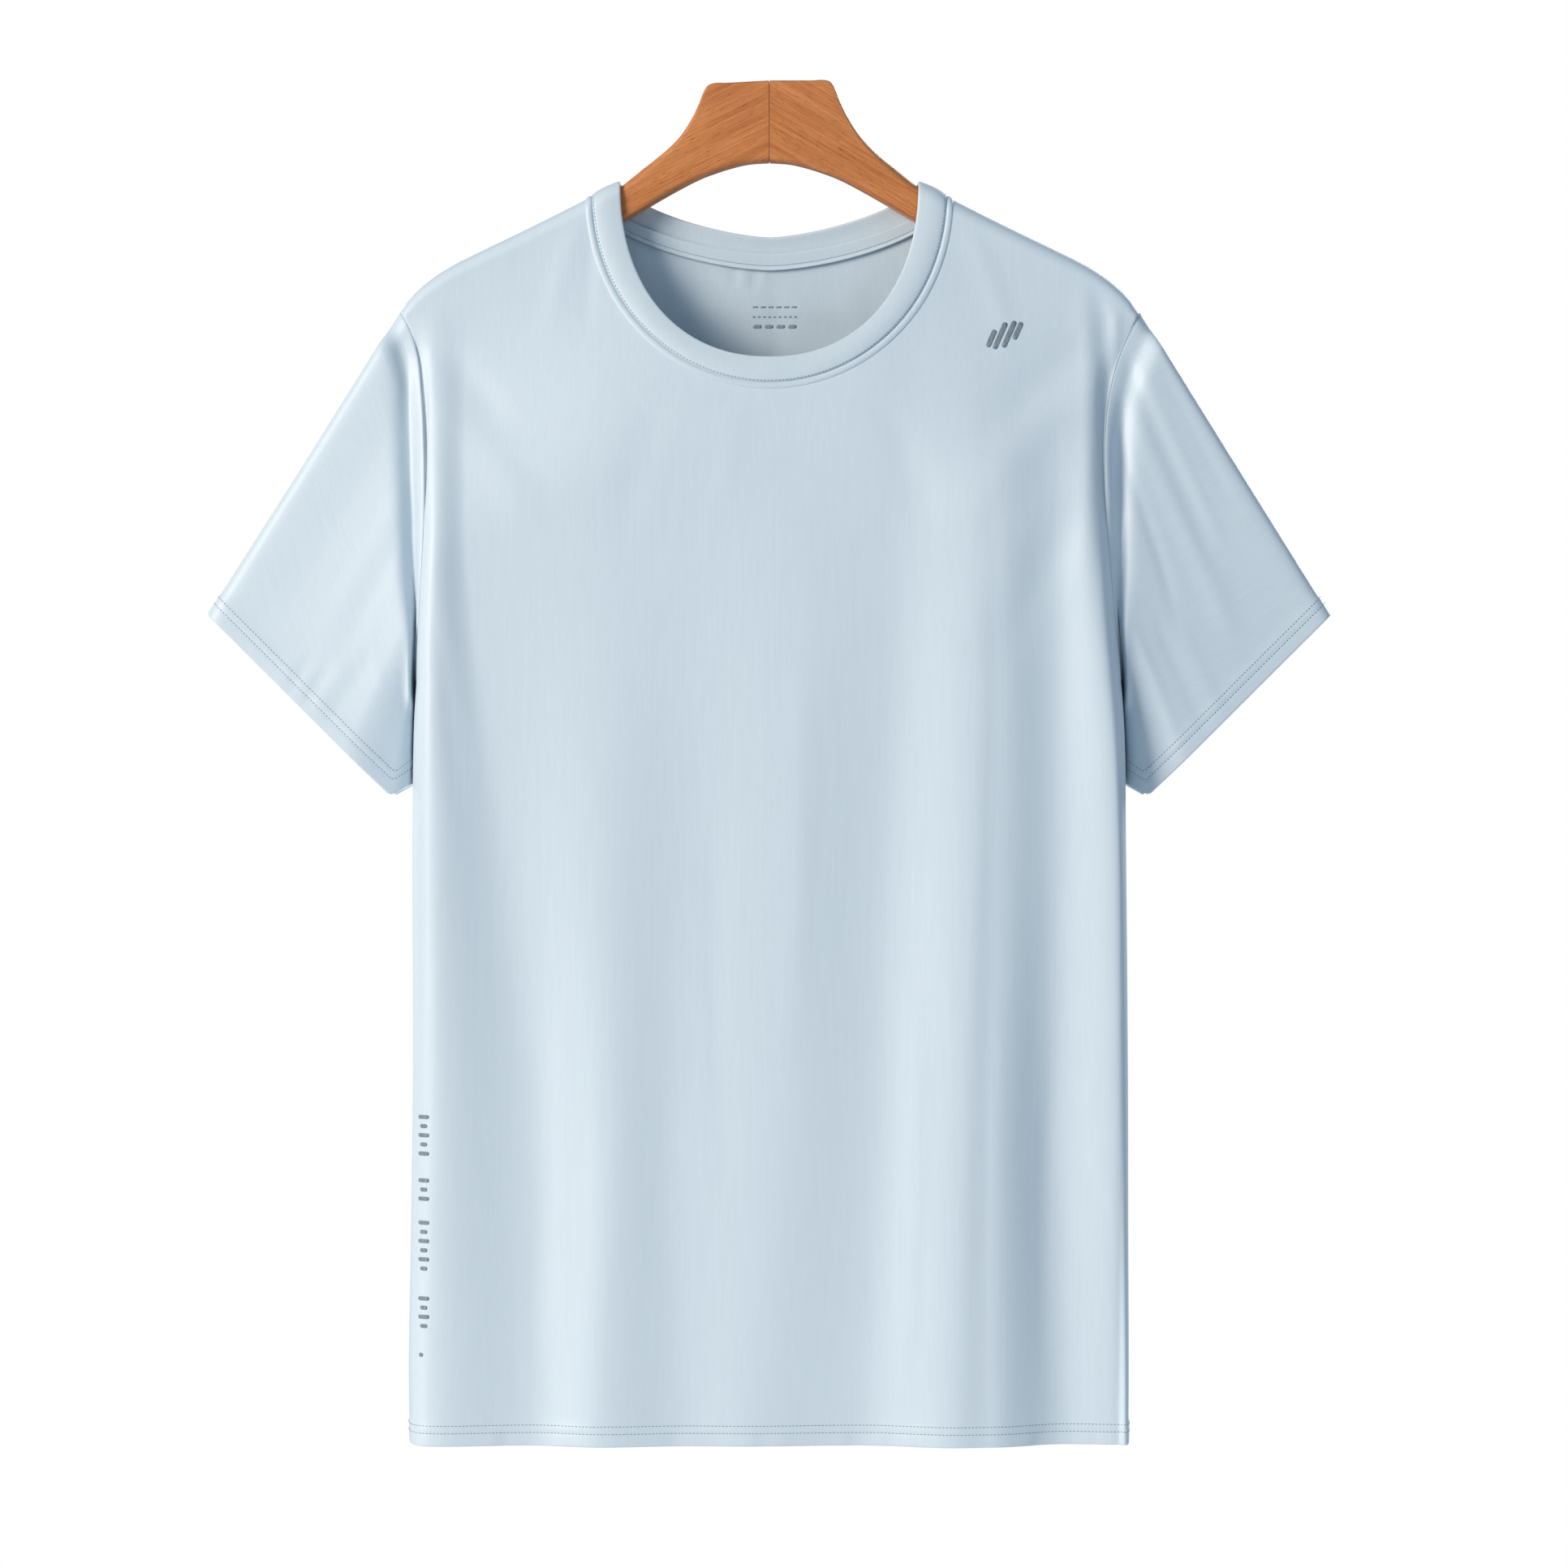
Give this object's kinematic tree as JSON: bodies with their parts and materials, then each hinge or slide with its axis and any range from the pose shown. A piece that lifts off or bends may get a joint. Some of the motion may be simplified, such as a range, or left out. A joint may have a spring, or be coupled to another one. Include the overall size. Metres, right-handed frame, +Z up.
{
  "type": "t-shirt on hanger",
  "caption": "Short-sleeved crew-neck sports t-shirt hanging flat on a plain mitred wooden hanger, open at neck, cuffs and hem.",
  "frame": {"origin": "top centre of the hanger head, at the mouth of the hook hole", "axes": "+Z up, out of the hook hole; -Y out of the chest; +X to the right of someone who looks at the chest"},
  "size_m": [0.6454, 0.081, 0.779],
  "materials": {
    "cloth": "smooth knit with a slight sheen",
    "rib": "fine rib knit",
    "tape": "matt knit",
    "wood": "pale warm hardwood, satin lacquer"
  },
  "bodies": {
    "root": {"front": "cloth", "back": "cloth", "sleeve_left": "cloth", "sleeve_right": "cloth", "neckband": "rib", "neck_tape": "tape", "hanger_left": "wood", "hanger_right": "wood"}
  },
  "joints": []
}
